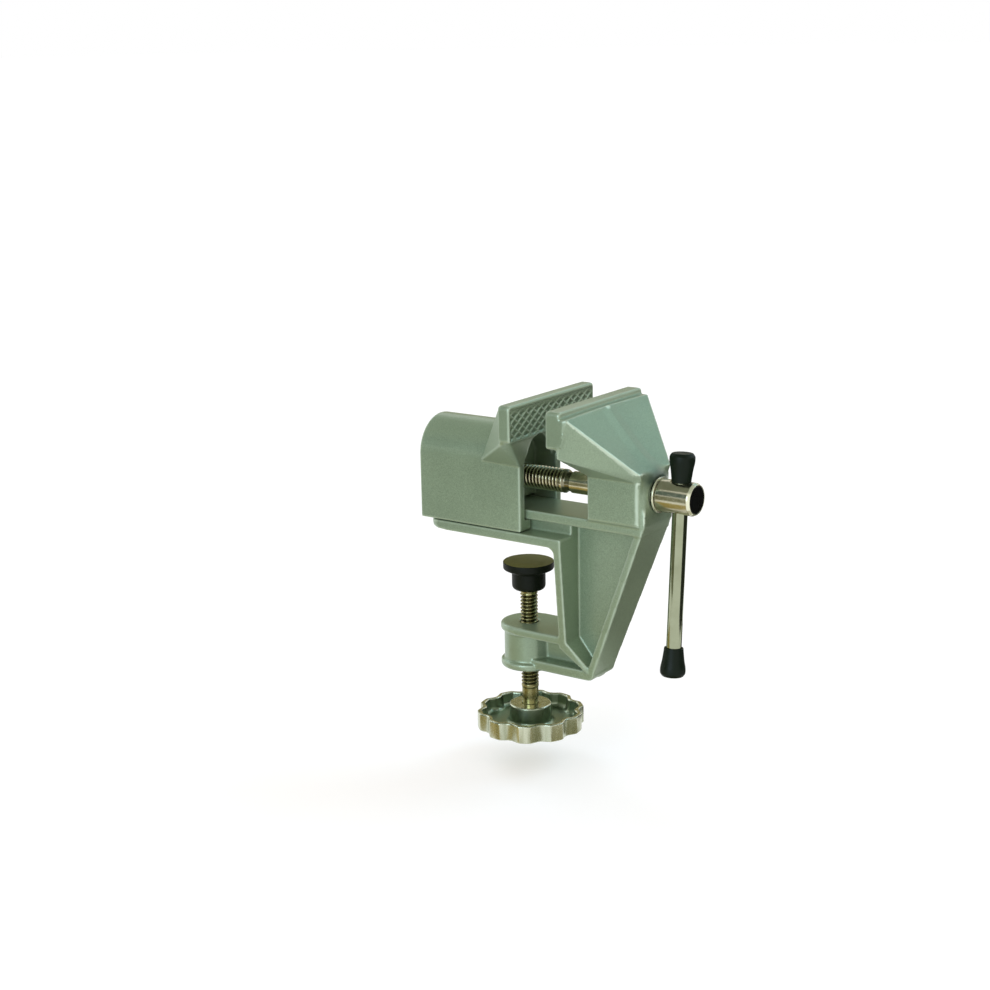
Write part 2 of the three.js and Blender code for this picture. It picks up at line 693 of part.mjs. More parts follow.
const vise = new THREE.Group();
vise.add(
  piece('clamp_frame', clampFrame(), 'paint'), piece('sliding_jaw', slidingJaw(), 'paint'),
  piece('thrust_washer', thrustWasher(), 'plated'), piece('retaining_clip', retainingClip(), 'plated'),
  piece('screw_end_plug', endPlugSolid(), 'plug'), piece('clamp_pad', padSolid(), 'rubber'),
  piece('clamp_screw', clampScrewSolid(), 'zinc'), piece('handwheel', wheelSolid(), 'cast'),
);

// Turning with the bar's lean, so that the cross hole follows the bar
const leaning = new THREE.Group();
leaning.position.z = axisHeight;
leaning.rotation.x = -THREE.MathUtils.degToRad(bar.lean);
const jawScrewMesh = piece('jaw_screw', jawScrewSolid().translate(0, 0, -axisHeight), 'plated');
const barMesh = piece('tommy_bar', barSolid(), 'plated');
const upperCap = piece('bar_cap_upper', capSolid(), 'rubber');
const lowerCap = piece('bar_cap_lower', capSolid(), 'rubber');
for (const mesh of [barMesh, upperCap, lowerCap]) mesh.position.x = crossHole;
upperCap.position.z = upperCapMouth;
lowerCap.position.z = barBottom + barCap.length - bar.end;
lowerCap.rotation.x = Math.PI;
leaning.add(jawScrewMesh, barMesh, upperCap, lowerCap);
vise.add(leaning);

export default vise;
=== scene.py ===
import math

import bmesh
import bpy
import numpy as np
from mathutils import Matrix, Vector


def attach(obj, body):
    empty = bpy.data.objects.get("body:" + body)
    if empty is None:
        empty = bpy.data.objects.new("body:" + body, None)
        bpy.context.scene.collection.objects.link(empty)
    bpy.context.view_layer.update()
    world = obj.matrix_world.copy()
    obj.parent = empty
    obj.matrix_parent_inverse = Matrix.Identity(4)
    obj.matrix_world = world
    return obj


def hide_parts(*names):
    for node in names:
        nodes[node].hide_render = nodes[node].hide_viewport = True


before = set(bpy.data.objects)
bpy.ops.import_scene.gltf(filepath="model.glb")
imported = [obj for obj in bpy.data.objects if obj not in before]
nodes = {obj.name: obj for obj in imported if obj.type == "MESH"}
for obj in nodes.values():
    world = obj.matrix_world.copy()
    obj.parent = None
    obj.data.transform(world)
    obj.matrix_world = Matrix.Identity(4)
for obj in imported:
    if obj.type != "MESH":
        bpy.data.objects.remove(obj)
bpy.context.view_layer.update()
print("frame loaded:", len(nodes), "nodes")

mm = 0.001
axisHeight = 23.7   # the jaw screw's axis above the bench seat, in mm
headCentre = 70.75  # where the bar crosses the screw's head, along x
fullTurn = 2 * math.pi
tiny = 1e-6         # mm, less than any real distance


def putObject(name, data):
    item = bpy.data.objects.new(name, data)
    bpy.context.scene.collection.objects.link(item)
    return item


# Camera, room and light
cameraLook = {
    "target": (-16.2, 0, 13.3), "distance": 738.85, "azimuth": 35.86, "elevation": 14.16,
    "roll": -1.08, "focalPixels": 1809.17, "frame": 990, "sensor": 36, "near": 0.01, "far": 100,
}


# The camera stands on a sphere round its target and is then rolled about its own view
def placeCamera(look):
    az, el, roll = (math.radians(look[k]) for k in ("azimuth", "elevation", "roll"))
    back = Vector((math.sin(az) * math.cos(el), -math.cos(az) * math.cos(el), math.sin(el)))
    right = Vector((math.cos(az), math.sin(az), 0))
    up = back.cross(right)
    rolledRight = right * math.cos(roll) + up * math.sin(roll)
    rolledUp = up * math.cos(roll) - right * math.sin(roll)
    camera = putObject("camera", bpy.data.cameras.new("camera"))
    camera.data.sensor_width = look["sensor"]
    camera.data.lens = look["focalPixels"] / look["frame"] * look["sensor"]
    camera.data.clip_start, camera.data.clip_end = look["near"], look["far"]
    place = Matrix((rolledRight, rolledUp, back)).transposed().to_4x4()
    place.translation = (Vector(look["target"]) + back * look["distance"]) * mm
    camera.matrix_world = place
    bpy.context.scene.camera = camera


# The floor lies just below the handwheel's lowest place
room = {
    "floorBelow": 97.6, "floorHalf": 40.0, "floorColour": (0.73, 0.73, 0.77), "floorGlow": 0.32,
    "fill": 0.86, "fillColour": (1.0, 0.93, 0.79), "matt": 0.9,
    "lampAngle": 30,
    "lamps": {
        "keyLamp": {"energy": 1.08, "azimuth": 2, "elevation": 15, "colour": (0.59, 0.77, 1.0)},
        "backLamp": {"energy": 0.64, "azimuth": 140, "elevation": 45, "colour": (0.54, 0.8, 1.0)},
        "leftLamp": {"energy": 0.42, "azimuth": 250, "elevation": 45, "colour": (0.64, 0.83, 1.0)},
    },
    "cards": {
        "tanCard": {
            "centre": (-185, 275, 30), "across": (175, 115, 0),
            "up": (0, 0, 113), "colour": (0.27, 0.23, 0.085),
        },
        "leftCard": {
            "centre": (-175, -240, -8), "across": (120, -88, 0),
            "up": (0, 0, 75), "colour": (0.27, 0.27, 0.18),
        },
        "highCard": {
            "centre": (-210, -280, 210), "across": (150, -110, 0),
            "up": (0, 0, 110), "colour": (0.13, 0.18, 0.17),
        },
        "ceilingCard": {
            "centre": (-60, 0, 400), "across": (440, 0, 0),
            "up": (0, 300, 0), "colour": (0.29, 0.32, 0.25),
        },
        "rightCard": {
            "centre": (166, 120, -20), "across": (96, -120, 0),
            "up": (0, 0, 63), "colour": (0.03, 0.035, 0.025),
        },
        "skyCard": {
            "centre": (150, 290, 250), "across": (150, 58, 0),
            "up": (0, -45, 95), "colour": (0.32, 0.53, 0.62),
        },
        "frontMat": {
            "centre": (-76, -112, -97), "across": (89, 0, 0),
            "up": (0, 72, 0), "colour": (0.5, 0.4, 0.15),
        },
        "sideMat": {
            "centre": (76, -6, -97.2), "across": (44, 0, 0),
            "up": (0, 44, 0), "colour": (0.34, 0.31, 0.19),
        },
        "backMat": {
            "centre": (70, 130, -97), "across": (90, 0, 0),
            "up": (0, 70, 0), "colour": (0.06, 0.05, 0.02),
        },
    },
}


def addSun(name, look):
    sun = putObject(name, bpy.data.lights.new(name, "SUN"))
    az, el = math.radians(look["azimuth"]), math.radians(look["elevation"])
    towards = Vector((math.sin(az) * math.cos(el), -math.cos(az) * math.cos(el), math.sin(el)))
    sun.rotation_euler = towards.to_track_quat("Z", "Y").to_euler()
    sun.data.energy = look["energy"]
    sun.data.angle = math.radians(room["lampAngle"])
    sun.data.color = look["colour"]


def mattMaterial(name, colour):
    material = bpy.data.materials.new(name)
    material.use_nodes = True
    shader = material.node_tree.nodes["Principled BSDF"]
    shader.inputs["Base Color"].default_value = (*colour, 1)
    shader.inputs["Roughness"].default_value = room["matt"]
    return material


# Cards outside the picture, which only show as reflections in the metal and the paint
def addCard(name, look):
    centre, across, up = (np.array(look[k]) * mm for k in ("centre", "across", "up"))
    signs = ((-1, -1), (1, -1), (1, 1), (-1, 1))
    corners = [tuple(centre + side * across + rise * up) for side, rise in signs]
    mesh = bpy.data.meshes.new(name)
    mesh.from_pydata(corners, [], [(0, 1, 2, 3)])
    mesh.materials.append(mattMaterial(name, look["colour"]))
    card = putObject(name, mesh)
    card.visible_camera = card.visible_diffuse = card.visible_shadow = False


# One for the rays that show the background: straight to the camera, mirrored or let through
def addShownRays(tree):
    path = tree.nodes.new("ShaderNodeLightPath")
    total = path.outputs["Is Camera Ray"]
    for kind in ("Is Glossy Ray", "Is Transmission Ray"):
        most = tree.nodes.new("ShaderNodeMath")
        most.operation = "MAXIMUM"
        tree.links.new(total, most.inputs[0])
        tree.links.new(path.outputs[kind], most.inputs[1])
        total = most.outputs[0]
    return total


# The world is white where it is seen, and a warm, softer fill for all other rays
def buildWorld(look):
    world = bpy.data.worlds.new("studio")
    bpy.context.scene.world = world
    world.use_nodes = True
    tree = world.node_tree
    tree.nodes.clear()
    white = tree.nodes.new("ShaderNodeBackground")
    white.inputs["Color"].default_value = (1, 1, 1, 1)
    soft = tree.nodes.new("ShaderNodeBackground")
    soft.inputs["Color"].default_value = (*look["fillColour"], 1)
    soft.inputs["Strength"].default_value = look["fill"]
    mix = tree.nodes.new("ShaderNodeMixShader")
    out = tree.nodes.new("ShaderNodeOutputWorld")
    for source, end in ((addShownRays(tree), 0), (soft.outputs[0], 1), (white.outputs[0], 2)):
        tree.links.new(source, mix.inputs[end])
    tree.links.new(mix.outputs[0], out.inputs["Surface"])


# A pale floor that glows a little where it is seen, and keeps the object's shadow
def buildFloor(look):
    mesh = bpy.data.meshes.new("floor")
    half, low = look["floorHalf"], -look["floorBelow"] * mm
    corners = [(-half, -half, low), (half, -half, low), (half, half, low), (-half, half, low)]
    mesh.from_pydata(corners, [], [(0, 1, 2, 3)])
    material = mattMaterial("paleFloor", look["floorColour"])
    tree = material.node_tree
    shader = tree.nodes["Principled BSDF"]
    shader.inputs["Specular IOR Level"].default_value = 0
    glow = tree.nodes.new("ShaderNodeEmission")
    level = tree.nodes.new("ShaderNodeMath")
    level.operation = "MULTIPLY"
    level.inputs[1].default_value = look["floorGlow"]
    tree.links.new(addShownRays(tree), level.inputs[0])
    tree.links.new(level.outputs[0], glow.inputs["Strength"])
    both = tree.nodes.new("ShaderNodeAddShader")
    tree.links.new(shader.outputs[0], both.inputs[0])
    tree.links.new(glow.outputs[0], both.inputs[1])
    tree.links.new(both.outputs[0], tree.nodes["Material Output"].inputs["Surface"])
    mesh.materials.append(material)
    floor = putObject("floor", mesh)


bpy.context.scene.view_settings.view_transform = "Standard"
placeCamera(cameraLook)
buildWorld(room)
for lampName, lamp in room["lamps"].items():
    addSun(lampName, lamp)
for cardName, card in room["cards"].items():
    addCard(cardName, card)
buildFloor(room)
print("camera and room ready")


# Finishes. Every pattern runs on the Object coordinates or on the piece's own painted light and shade.
def startMaterial(name):
    material = bpy.data.materials.new(name)
    material.use_nodes = True
    tree = material.node_tree
    where = tree.nodes.new("ShaderNodeTexCoord").outputs["Object"]
    return material, tree, tree.nodes["Principled BSDF"], where


def addNoise(tree, where, scale, detail=2, stretch=None):
    if stretch:
        mapping = tree.nodes.new("ShaderNodeMapping")
        mapping.inputs["Scale"].default_value = stretch
        tree.links.new(where, mapping.inputs["Vector"])
        where = mapping.outputs["Vector"]
    noise = tree.nodes.new("ShaderNodeTexNoise")
    noise.inputs["Scale"].default_value = scale
    noise.inputs["Detail"].default_value = detail
    tree.links.new(where, noise.inputs["Vector"])
    return noise.outputs["Fac"]


# The limits are those of the value that comes in and then those of the one that goes out
def addRange(tree, value, *limits):
    change = tree.nodes.new("ShaderNodeMapRange")
    for socket, limit in zip(("From Min", "From Max", "To Min", "To Max"), limits, strict=True):
        change.inputs[socket].default_value = limit
    tree.links.new(value, change.inputs["Value"])
    return change.outputs["Result"]


# Each colour may be a socket or a plain colour
def addMix(tree, factor, first, second, kind="MIX"):
    mix = tree.nodes.new("ShaderNodeMix")
    mix.data_type = "RGBA"
    mix.blend_type = kind
    for index, value in ((0, factor), (6, first), (7, second)):
        if isinstance(value, bpy.types.NodeSocket):
            tree.links.new(value, mix.inputs[index])
        else:
            mix.inputs[index].default_value = (*value, 1) if isinstance(value, tuple) else value
    return mix.outputs[2]


def addBump(tree, shader, layers):
    last = None
    for height, strength, distance in layers:
        bump = tree.nodes.new("ShaderNodeBump")
        bump.inputs["Strength"].default_value = strength
        bump.inputs["Distance"].default_value = distance * mm
        tree.links.new(height, bump.inputs["Height"])
        if last:
            tree.links.new(last, bump.inputs["Normal"])
        last = bump.outputs["Normal"]
    tree.links.new(last, shader.inputs["Normal"])


# The painted light and shade that each new piece carries on its points
def addPaintedLight(tree):
    paintedLight = tree.nodes.new("ShaderNodeAttribute")
    paintedLight.attribute_name = "paintedLight"
    return paintedLight.outputs["Fac"]


noiseSpan = (0.3, 0.7)   # nearly all of a noise's values lie in here


def addRoughness(tree, shader, noise, span):
    tree.links.new(addRange(tree, noise, *noiseSpan, *span), shader.inputs["Roughness"])


# Written colour to linear light
def fromScreen(red, green, blue):
    screen = np.array([red, green, blue]) / 255
    return tuple(np.where(screen <= 0.04045, screen / 12.92, ((screen + 0.055) / 1.055) ** 2.4).tolist())


# crest is the colour of the painted highlight on edges, and the two dark colours after it paint shade in
# corners and deeper shade
paintLook = {
    "colour": fromScreen(142, 160, 133), "shade": fromScreen(137, 155, 129),
    "crest": fromScreen(206, 222, 200), "paintedShade": fromScreen(84, 99, 78), "deeperShade": fromScreen(56, 78, 68),
    "cloudScale": 40, "clouds": (0.35, 0.65), "flakeScale": 3800, "flakes": (0.25, 0.75), "flake": 0.24,
    "highlit": ((0.2, 1, 0.42), (1, 2, 0.8)), "shaded": ((-0.2, -1, 0.3), (-1, -2, 0.85)),
    "roughness": (0.36, 0.42), "metallic": 0.5, "coat": (0.3, 0.16),
    "bumps": ((1300, 0.2, 0.05), (160, 0.1, 0.12)),
}


# Metallic paint: two close greens in soft clouds with fine flakes. The piece's own painted light is above
# zero on its rounded edges, where a paler colour paints their highlight, and above one where a brighter
# highlight is painted. It is below zero in its corners, where a darker colour paints their shade, and below
# minus one where a deeper shade is painted. A row of the two tables gives the value where another colour
# starts to come in, the value where that ends, and its share from there on.
def paintFinish(look):
    material, tree, shader, where = startMaterial("castingPaint")
    cloud = addNoise(tree, where, look["cloudScale"])
    flake = addNoise(tree, where, look["flakeScale"], 1)
    colour = addMix(tree, addRange(tree, cloud, *look["clouds"], 0, 1), look["shade"], look["colour"])
    grain = addRange(tree, flake, *look["flakes"], 1 - look["flake"], 1 + look["flake"])
    colour = addMix(tree, 1.0, colour, grain, "MULTIPLY")
    paintedLight = addPaintedLight(tree)
    rows = zip(look["highlit"] + look["shaded"], (look["crest"], look["crest"], look["paintedShade"], look["deeperShade"]))
    for (start, end, share), other in rows:
        colour = addMix(tree, addRange(tree, paintedLight, start, end, 0, share), colour, other)
    tree.links.new(colour, shader.inputs["Base Color"])
    addRoughness(tree, shader, cloud, look["roughness"])
    shader.inputs["Metallic"].default_value = look["metallic"]
    shader.inputs["Coat Weight"].default_value, shader.inputs["Coat Roughness"].default_value = look["coat"]
    addBump(tree, shader, [(addNoise(tree, where, scale), *bump) for scale, *bump in look["bumps"]])
    return material


# edge is the colour of a painted highlight, and the dark colour after dull paints shade in grooves
nickelLook = {
    "colour": fromScreen(194, 191, 165), "dull": fromScreen(162, 156, 124), "paintedShade": fromScreen(60, 58, 42),
    "edge": fromScreen(232, 232, 204), "roughness": (0.13, 0.24), "cloudScale": 140,
    "clouds": (0.42, 0.7, 0, 0.6), "groove": (-0.2, -0.85, 0, 0.95), "cut": (0.2, 1, 0, 1), "cutMetal": 0.7,
    "markScale": 900, "stretch": (1, 1, 1), "markStrength": 0.25, "markDepth": 0.004,
}


# Steel with fine marks, drawn out where they are stretched. Painted light above zero is a painted
# highlight on a cut edge, pale and a little chalky, and below zero it is painted shade in the bottom of a
# groove.
def metalFinish(name, look):
    material, tree, shader, where = startMaterial(name)
    marks = addNoise(tree, where, look["markScale"], 3, look["stretch"])
    cloud = addNoise(tree, where, look["cloudScale"], 3)
    colour = addMix(tree, addRange(tree, cloud, *look["clouds"]), look["colour"], look["dull"])
    paintedLight = addPaintedLight(tree)
    colour = addMix(tree, addRange(tree, paintedLight, *look["groove"]), colour, look["paintedShade"])
    cut = addRange(tree, paintedLight, *look["cut"])
    colour = addMix(tree, cut, colour, look["edge"])
    tree.links.new(colour, shader.inputs["Base Color"])
    addRoughness(tree, shader, marks, look["roughness"])
    tree.links.new(addRange(tree, cut, 0, 1, 1, look["cutMetal"]), shader.inputs["Metallic"])
    addBump(tree, shader, [(marks, look["markStrength"], look["markDepth"])])
    return material


drawnLook = dict(
    nickelLook, colour=fromScreen(162, 168, 141), dull=fromScreen(146, 151, 123), roughness=(0.06, 0.14),
    stretch=(1, 1, 0.02),
)
threadLook = dict(
    nickelLook, colour=fromScreen(204, 198, 166), paintedShade=fromScreen(40, 36, 22), markScale=700,
    markDepth=0.006,
)
zincLook = dict(
    nickelLook, colour=fromScreen(160, 154, 108), dull=fromScreen(128, 122, 82),
    paintedShade=fromScreen(44, 44, 26), edge=fromScreen(206, 200, 150), roughness=(0.2, 0.34), markScale=500,
    markDepth=0.003,
)
clipLook = dict(
    nickelLook, colour=fromScreen(110, 108, 104), dull=fromScreen(72, 70, 66),
    paintedShade=fromScreen(40, 40, 36), edge=fromScreen(150, 148, 142), roughness=(0.3, 0.5), markScale=500,
    markDepth=0.02,
)

# edge is a painted highlight colour, and dish a painted shade colour over the duller casting of the dish
wheelLook = {
    "colour": fromScreen(214, 217, 194), "dark": fromScreen(178, 181, 154), "edge": fromScreen(238, 241, 224),
    "dish": fromScreen(148, 160, 134), "roughness": (0.2, 0.3), "dishRoughness": 0.3,
    "streak": (420, 0.3, 0.02), "stretch": (1, 1, 0.1), "streaks": (0.35, 0.6, 0, 1),
    "pits": (1600, 0.2, 0.02), "dishShade": (-0.1, -1, 0, 1), "edges": (0.52, 0.6, 0, 0.8),
}


# Bare casting: two greys in upright streaks, with a painted highlight on its edges, and in its dish dull with
# painted shade
def wheelFinish(look):
    material, tree, shader, where = startMaterial("wheelCasting")
    streakScale, *streakBump = look["streak"]
    pitScale, *pitBump = look["pits"]
    streak = addNoise(tree, where, streakScale, 2, look["stretch"])
    pits = addNoise(tree, where, pitScale)
    colour = addMix(tree, addRange(tree, streak, *look["streaks"]), look["dark"], look["colour"])
    dish = addRange(tree, addPaintedLight(tree), *look["dishShade"])
    colour = addMix(tree, dish, colour, look["dish"])
    point = tree.nodes.new("ShaderNodeNewGeometry").outputs["Pointiness"]
    colour = addMix(tree, addRange(tree, point, *look["edges"]), colour, look["edge"])
    tree.links.new(colour, shader.inputs["Base Color"])
    shine = tree.nodes.new("ShaderNodeMix")
    tree.links.new(dish, shine.inputs[0])
    tree.links.new(addRange(tree, pits, *noiseSpan, *look["roughness"]), shine.inputs[2])
    shine.inputs[3].default_value = look["dishRoughness"]
    tree.links.new(shine.outputs[0], shader.inputs["Roughness"])
    shader.inputs["Metallic"].default_value = 1
    addBump(tree, shader, [(pits, *pitBump), (streak, *streakBump)])
    return material


capRubber = {
    "colour": (0.003, 0.007, 0.003), "lightFromAbove": (0.012, 0.02, 0.012), "lightFromAboveShare": 0.4,
    "roughness": (0.38, 0.48), "grain": 0.02, "gloss": 0.16,
}
padPlastic = {
    "colour": (0.004, 0.006, 0.003), "lightFromAbove": (0.17, 0.16, 0.05), "lightFromAboveShare": 1.0,
    "roughness": (0.42, 0.52), "grain": 0.03, "gloss": 0.14,
}
plugPlastic = {
    "colour": (0.003, 0.003, 0.003), "lightFromAbove": (0.01, 0.01, 0.01), "lightFromAboveShare": 0.3,
    "roughness": (0.25, 0.35), "grain": 0.01, "gloss": 0.12,
}
blackLook = {"cloudScale": 300, "paler": 1.5, "grainScale": 1800, "grainStrength": 0.3, "lightFromAboveFrom": 0.8}


# Black moulded parts: a soft sheen over fine grain, with a paler tint where they face up, which paints the
# light from above
def blackFinish(name, look):
    material, tree, shader, where = startMaterial(name)
    shader.inputs["Specular IOR Level"].default_value = look["gloss"]
    cloud = addNoise(tree, where, blackLook["cloudScale"], 3)
    facing = tree.nodes.new("ShaderNodeNewGeometry").outputs["Normal"]
    split = tree.nodes.new("ShaderNodeSeparateXYZ")
    tree.links.new(facing, split.inputs[0])
    up = addRange(tree, split.outputs["Z"], blackLook["lightFromAboveFrom"], 1.0, 0, look["lightFromAboveShare"])
    paler = tuple(part * blackLook["paler"] for part in look["colour"])
    colour = addMix(tree, up, addMix(tree, cloud, look["colour"], paler), look["lightFromAbove"])
    tree.links.new(colour, shader.inputs["Base Color"])
    addRoughness(tree, shader, cloud, look["roughness"])
    grain = addNoise(tree, where, blackLook["grainScale"])
    addBump(tree, shader, [(grain, blackLook["grainStrength"], look["grain"])])
    return material


finishes = {
    "casting_paint": paintFinish(paintLook),
    "plated_steel": metalFinish("brightNickel", nickelLook),
    "plated_bar": metalFinish("drawnNickel", drawnLook),
    "plated_thread": metalFinish("cutNickel", threadLook),
    "zinc_steel": metalFinish("warmZinc", zincLook),
    "spring_steel": metalFinish("springSteel", clipLook),
    "wheel_casting": wheelFinish(wheelLook),
    "black_cap": blackFinish("capRubber", capRubber),
    "black_pad": blackFinish("padPlastic", padPlastic),
    "black_plug": blackFinish("plugPlastic", plugPlastic),
}
print("finishes ready")


# Ways to make shapes
def dressPiece(piece, body, slotName, finishName, *replaced):
    piece.data.materials.clear()
    piece.data.materials.append(finishes[finishName])
    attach(piece, body)
    if replaced:
        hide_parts(*replaced)


def putMesh(name, points, faces, crisp, paintedLight):
    mesh = bpy.data.meshes.new(name)
    mesh.from_pydata((points * mm).tolist(), [], faces)
    mesh.shade_smooth()
    mesh.set_sharp_from_angle(angle=math.radians(crisp))
    mesh.attributes.new("paintedLight", "FLOAT", "POINT").data.foreach_set("value", paintedLight)
    return putObject(name, mesh)


# From zero to one while the value goes from zero to the span
def rampUp(value, span=1):
    return np.clip(value / span, 0, 1)


# Each corner is cut back by its radius along both edges, and a parabola joins the two cuts.
# A corner is its radius from the axis, its place along it, its rounding and any further values. A cut
# takes less than half of the shorter edge.
def softProfile(corners, steps=6, most=0.49):
    corners = np.array(corners, float)
    place, radius = np.delete(corners, 2, 1), corners[:, 2:3]
    before, after = place - np.roll(place, 1, 0), np.roll(place, -1, 0) - place
    lengthBefore = np.linalg.norm(before, axis=1, keepdims=True)
    lengthAfter = np.linalg.norm(after, axis=1, keepdims=True)
    cut = np.minimum(radius, most * np.minimum(lengthBefore, lengthAfter))
    start, end = place - before / lengthBefore * cut, place + after / lengthAfter * cut
    t = np.linspace(0, 1, steps)[None, :, None]
    curve = (1 - t) ** 2 * start[:, None] + 2 * t * (1 - t) * place[:, None] + t ** 2 * end[:, None]
    points = curve.reshape(-1, place.shape[1])
    kept = np.linalg.norm(points - np.roll(points, 1, 0), axis=1) > tiny
    kept[0] = True
    return points[kept]


# Corners round one place. A row gives how far out and along from there, the rounding and the rest.
def cornersAt(radius, along, rows):
    return [(radius + out, along + further, *rest) for out, further, *rest in rows]


# Stands a turned shape on the axis of the jaw screw, the clamp screw or the leaning bar
def standOn(axisName, u, v, along):
    if axisName == "jawScrew":
        return np.stack([along, u, v + axisHeight], -1)
    if axisName == "clampScrew":
        return np.stack([u, v, along], -1)
    lean = math.radians(barLook["lean"])
    sideways = v * math.cos(lean) + along * math.sin(lean)
    upward = along * math.cos(lean) - v * math.sin(lean)
    return np.stack([u + headCentre, sideways, upward + axisHeight], -1)


# Rings of points: across is radius times the angle's cosine and sine, along stays with its ring.
# A ring of no radius becomes one pole, and a looped profile closes on its first ring.
def turnedPiece(name, axisName, radius, along, paintedLight, looped=False, crisp=35):
    rings, steps = radius.shape
    angle = np.arange(steps) * fullTurn / steps
    points = standOn(axisName, radius * np.cos(angle), radius * np.sin(angle), along)
    startPole = not looped and radius[0].max() < tiny
    endPole = not looped and radius[-1].max() < tiny
    first, last = int(startPole), rings - int(endPole)
    flat = points[first:last].reshape(-1, 3)
    flatLight = paintedLight[first:last].ravel()
    count = last - first
    i = np.arange(count if looped else count - 1)[:, None]
    j = np.arange(steps)[None, :]
    nextJ, nextI = (j + 1) % steps, (i + 1) % count
    quads = np.stack([i * steps + j, i * steps + nextJ, nextI * steps + nextJ, nextI * steps + j], -1)
    faces = quads.reshape(-1, 4).tolist()
    j = np.arange(steps)
    if startPole:
        flat = np.vstack([flat, points[0, :1]])
        flatLight = np.append(flatLight, 0)
        faces += np.stack([(j + 1) % steps, j, np.full(steps, len(flat) - 1)], -1).tolist()
    if endPole:
        top = (count - 1) * steps
        flat = np.vstack([flat, points[-1, :1]])
        flatLight = np.append(flatLight, 0)
        faces += np.stack([top + j, top + (j + 1) % steps, np.full(steps, len(flat) - 1)], -1).tolist()
    return putMesh(name, flat, faces, crisp, flatLight)


def turnedProfile(name, axisName, profile, steps=96):
    return turnedPiece(name, axisName, *profileGrid(profile, steps))


threadLines = {"rowsPerPitch": 14, "steps": 80, "steep": 1.3, "flat": 0.12, "soft": 0.5}


# Right-hand thread: from the crest the radius falls to the root and back once per pitch, and
# the crest moves along by one pitch for each full turn. The fade brings the groove in gently.
def threadGrid(look, start, end):
    steps, pitch, soft = threadLines["steps"], look["pitch"], threadLines["soft"]
    rows = int((end - start) / pitch * threadLines["rowsPerPitch"]) + 1
    along = np.linspace(start, end, rows)[:, None]
    angle = (np.arange(steps) * fullTurn / steps)[None, :]
    phase = (along / pitch - angle / fullTurn) % 1
    fall = rampUp(threadLines["steep"] * (1 - np.abs(2 * phase - 1)) - threadLines["flat"])
    fall = fall * fall * (3 - 2 * fall) * soft + fall * (1 - soft)
    fade = rampUp(np.minimum(along - start, end - along), pitch)
    # The third grid paints shade in the groove, darkest at its root
    return look["crest"] - look["depth"] * fall * fade, np.repeat(along, steps, 1), -fall * fade


# A grid is three arrays with a row for each ring: radius, place along the axis and painted light and shade
def stackGrids(*grids):
    return [np.vstack(parts) for parts in zip(*grids)]


def profileGrid(profile, steps=80, paintedLight=0):
    radius, along = np.repeat(profile[:, :1], steps, 1), np.repeat(profile[:, 1:2], steps, 1)
    return radius, along, np.full(radius.shape, paintedLight, float)


def bakeShape(piece):
    graph = bpy.context.evaluated_depsgraph_get()
    mesh = bpy.data.meshes.new_from_object(piece.evaluated_get(graph))
    piece.modifiers.clear()
    old = piece.data
    piece.data = mesh
    bpy.data.meshes.remove(old)
    return piece


def cutAway(piece, cutter):
    cut = piece.modifiers.new("cut", "BOOLEAN")
    cut.object = cutter
    cut.operation = "DIFFERENCE"
    cut.solver = "EXACT"
    bakeShape(piece)
    bpy.data.objects.remove(cutter)


def hullBlock(name, points):
    block = bmesh.new()
    for point in points:
        block.verts.new([value * mm for value in point])
    bmesh.ops.convex_hull(block, input=block.verts)
    mesh = bpy.data.meshes.new(name)
    block.to_mesh(mesh)
    block.free()
    return putObject(name, mesh)


# Castings: the frame and the sliding jaw, with the soft edges of a painted die casting
castingLook = {
    "weld": 0.001, "voxel": 0.42, "smoothTurns": 3, "smoothShare": 0.5, "paintedLightTurns": 12, "paintedLightFull": 0.22,
    "mostTriangles": 185000,
}


# A copy of the solid, with its hollows cut, is rebuilt on a fine even skin
def rebuildSkin(name, node, look, cutters):
    piece = putObject(name, nodes[node].data.copy())
    skin = bmesh.new()
    skin.from_mesh(piece.data)
    bmesh.ops.remove_doubles(skin, verts=skin.verts, dist=look["weld"] * mm)
    skin.to_mesh(piece.data)
    skin.free()
    for cutter in cutters:
        cutAway(piece, cutter)
    remesh = piece.modifiers.new("skin", "REMESH")
    remesh.mode = "VOXEL"
    remesh.voxel_size = look["voxel"] * mm
    return bakeShape(piece)


def readVectors(items, kind):
    values = np.empty(len(items) * 3)
    items.foreach_get(kind, values)
    return values.reshape(-1, 3)


